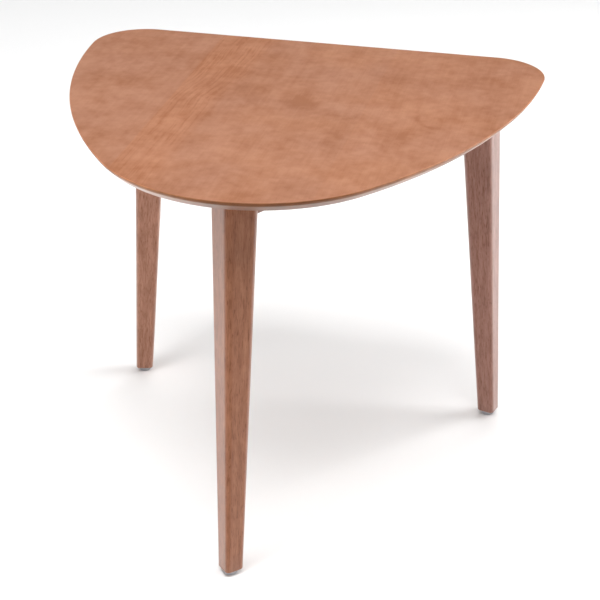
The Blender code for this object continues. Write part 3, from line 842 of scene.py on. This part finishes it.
def make_leg(side, wood):
    low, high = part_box(f"leg_{side}")
    bottom, top = low.z, high.z
    slope = LEG_LEAN / (top - bottom)
    flat_x = LEG_CIRCLE_RADIUS - LEG_LEAN - LEG_TOP_SIZE / math.sqrt(2) + LEG_FLAT_CUT

    def ring(z, shrink=0.0):
        up = (z - bottom) / (top - bottom)
        size = LEG_FOOT_SIZE + (LEG_TOP_SIZE - LEG_FOOT_SIZE) * up - 2 * shrink
        arris = LEG_FOOT_ARRIS + (LEG_TOP_ARRIS - LEG_FOOT_ARRIS) * up
        x = LEG_CIRCLE_RADIUS - slope * (z - bottom)
        return [Vector((x + point.x, point.y, z)) for point in leg_section(size, arris, flat_x - x)]

    rings = []
    for step in range(ARRIS_STEPS):
        turn = math.pi / 2 * step / ARRIS_STEPS
        lift, shrink = LEG_FOOT_ROUND * (1 - math.cos(turn)), LEG_FOOT_ROUND * (1 - math.sin(turn))
        rings.append(ring(bottom + lift, shrink))
    levels = (bottom + LEG_FOOT_ROUND, top - LEG_FLAT_HEIGHT, top)
    for start, end in zip(levels, levels[1:]):
        rings += [ring(start + (end - start) * step / LEG_RINGS) for step in range(LEG_RINGS)]
    rings.append(ring(top))
    body = loft(rings)
    around = Matrix.Rotation(math.radians(LEG_ANGLES[side]), 4, "Z")
    lean = Matrix.Rotation(-math.atan(slope), 4, "Y")
    foot = Matrix.Translation((LEG_CIRCLE_RADIUS, 0, bottom)) @ lean
    body.transform(foot.inverted())
    matrix = Matrix.Translation((0, LEG_CIRCLE_Y, 0)) @ around @ foot
    leg = finish_piece(f"tapered_leg_{side}", "leg", body, [wood], matrix)
    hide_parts(f"leg_{side}")


def turned(profile, sides):
    """A bmesh turned round Z from a (radius, height) profile."""
    angles = [2 * math.pi * i / sides for i in range(sides)]
    return loft([[Vector((radius * math.cos(a), radius * math.sin(a), z)) for a in angles]
                 for radius, z in profile])


def make_glide(side, nylon):
    low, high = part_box(f"glide_{side}")
    centre, radius, height = (low + high) / 2, (high.x - low.x) / 2, high.z - low.z
    profile = [(GLIDE_RECESS_RADIUS, GLIDE_RECESS_DEPTH), (GLIDE_RECESS_RADIUS, GLIDE_LIP),
               (GLIDE_RECESS_RADIUS + GLIDE_LIP, 0)]
    for step in range(2 * ARRIS_STEPS + 1):
        turn = math.pi / 4 * step / ARRIS_STEPS
        profile.append((radius - GLIDE_EDGE * (1 - math.sin(turn)), GLIDE_EDGE * (1 - math.cos(turn))))
    profile += [(radius, height - GLIDE_LIP), (radius - GLIDE_LIP, height)]
    matrix = Matrix.Translation((centre.x, centre.y, low.z))
    body = turned(profile, GLIDE_SIDES)
    glide = finish_piece(f"nylon_glide_{side}", "glide", body, [nylon], matrix)
    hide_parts(f"glide_{side}")


def make_bolt(side, zinc):
    """A hanger bolt whose thread is a helix on its shank."""
    low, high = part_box(f"hanger_bolt_{side}")
    radius = (high.z - low.z) / 2
    out = Matrix.Rotation(math.radians(LEG_ANGLES[side]), 3, "Z") @ Vector((1, 0, 0))
    major, minor = (0, 1) if abs(out.x) > abs(out.y) else (1, 0)
    half = ((high - low)[major] / 2 - radius * abs(out[minor])) / abs(out[major])
    steps = round(2 * half / THREAD_PITCH * THREAD_STEPS)
    rings = []
    for number in range(steps + 1):
        z = -half + 2 * half * number / steps
        taper = min((half - abs(z)) / (THREAD_PITCH * THREAD_RUNOUT), 1.0)
        row = []
        for i in range(THREAD_SIDES):
            angle = 2 * math.pi * i / THREAD_SIDES
            phase = (z / THREAD_PITCH - i / THREAD_SIDES) % 1.0
            crest = min(1.0, THREAD_SLOPE * (1 - abs(2 * phase - 1)))
            r = radius - THREAD_DEPTH * (1 - crest * taper)
            row.append(Vector((r * math.cos(angle), r * math.sin(angle), z)))
        rings.append(row)
    matrix = Matrix.Translation((low + high) / 2) @ out.to_track_quat("Z", "Y").to_matrix().to_4x4()
    bolt = finish_piece(f"threaded_bolt_{side}", "bolt", loft(rings), [zinc], matrix)
    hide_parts(f"hanger_bolt_{side}")


def dress(node, material):
    """Gives a node of the frame its finish."""
    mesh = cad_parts[node].data
    mesh.materials.clear()
    mesh.materials.append(material)


def make_floor():
    made, tree, shader, vector = start_material("pale_floor")
    tree.feed(shader.inputs["Base Color"], tree.mix(tree.noise(vector, FLOOR_PATCH, 2.0), *FLOOR_GREYS))
    shader.inputs["Roughness"].default_value = FLOOR_ROUGHNESS
    shader.inputs["Specular IOR Level"].default_value = FLOOR_GLOSS
    body = bmesh.new()
    corners = [body.verts.new((x * FLOOR_HALF, y * FLOOR_HALF, 0))
               for x, y in ((-1, -1), (1, -1), (1, 1), (-1, 1))]
    body.faces.new(corners)
    mesh = bpy.data.meshes.new("floor")
    body.to_mesh(mesh)
    body.free()
    mesh.materials.append(made)
    floor = bpy.data.objects.new("floor", mesh)
    bpy.context.scene.collection.objects.link(floor)


def make_light(name, place, aim, size, power):
    light = bpy.data.lights.new(name, "AREA")
    light.shape = "RECTANGLE"
    light.size, light.size_y = size
    light.energy = power
    lamp = bpy.data.objects.new(name, light)
    towards = (Vector(aim) - Vector(place)).to_track_quat("-Z", "Y").to_matrix().to_4x4()
    lamp.matrix_world = Matrix.Translation(place) @ towards
    bpy.context.scene.collection.objects.link(lamp)


def make_lights():
    world = bpy.data.worlds.new("studio")
    world.use_nodes = True
    background = world.node_tree.nodes["Background"]
    background.inputs["Color"].default_value = WHITE
    background.inputs["Strength"].default_value = WORLD_STRENGTH
    bpy.context.scene.world = world
    for name, settings in SOFTBOXES.items():
        make_light(name, *settings)


def make_camera():
    data = bpy.data.cameras.new("camera")
    data.lens = CAMERA_LENS
    data.sensor_width = CAMERA_SENSOR
    camera = bpy.data.objects.new("camera", data)
    turn = Matrix.Rotation(CAMERA_TURN, 4, "Z") @ Matrix.Rotation(math.pi / 2 - CAMERA_DOWN, 4, "X")
    camera.matrix_world = Matrix.Translation(CAMERA_PLACE) @ turn @ Matrix.Rotation(CAMERA_ROLL, 4, "Z")
    bpy.context.scene.collection.objects.link(camera)
    bpy.context.scene.camera = camera


def main():
    bpy.context.scene.view_settings.view_transform = "Standard"
    make_camera()
    zinc, nylon = zinc_material(), nylon_material()
    make_board(veneer_material(), edge_material(), underside_material())
    for side in LEG_SIDES:
        make_leg(side, leg_material(side))
        make_glide(side, nylon)
        make_bolt(side, zinc)
        block_turn = math.radians(LEG_ANGLES[side] + 90)
        dress(f"corner_block_{side}", frame_material("block", side, block_turn))
        for node in (f"washer_{side}", f"nut_{side}", f"glide_nail_{side}"):
            dress(node, zinc)
        for number in (1, 2):
            dress(f"block_screw_{side}_{number}", zinc)
    for side, degrees in RAIL_ANGLES.items():
        dress(f"rail_{side}", frame_material("rail", side, math.radians(degrees + 90)))
        for number in (1, 2):
            dress(f"top_screw_{side}_{number}", zinc)
    make_floor()
    make_lights()


main()
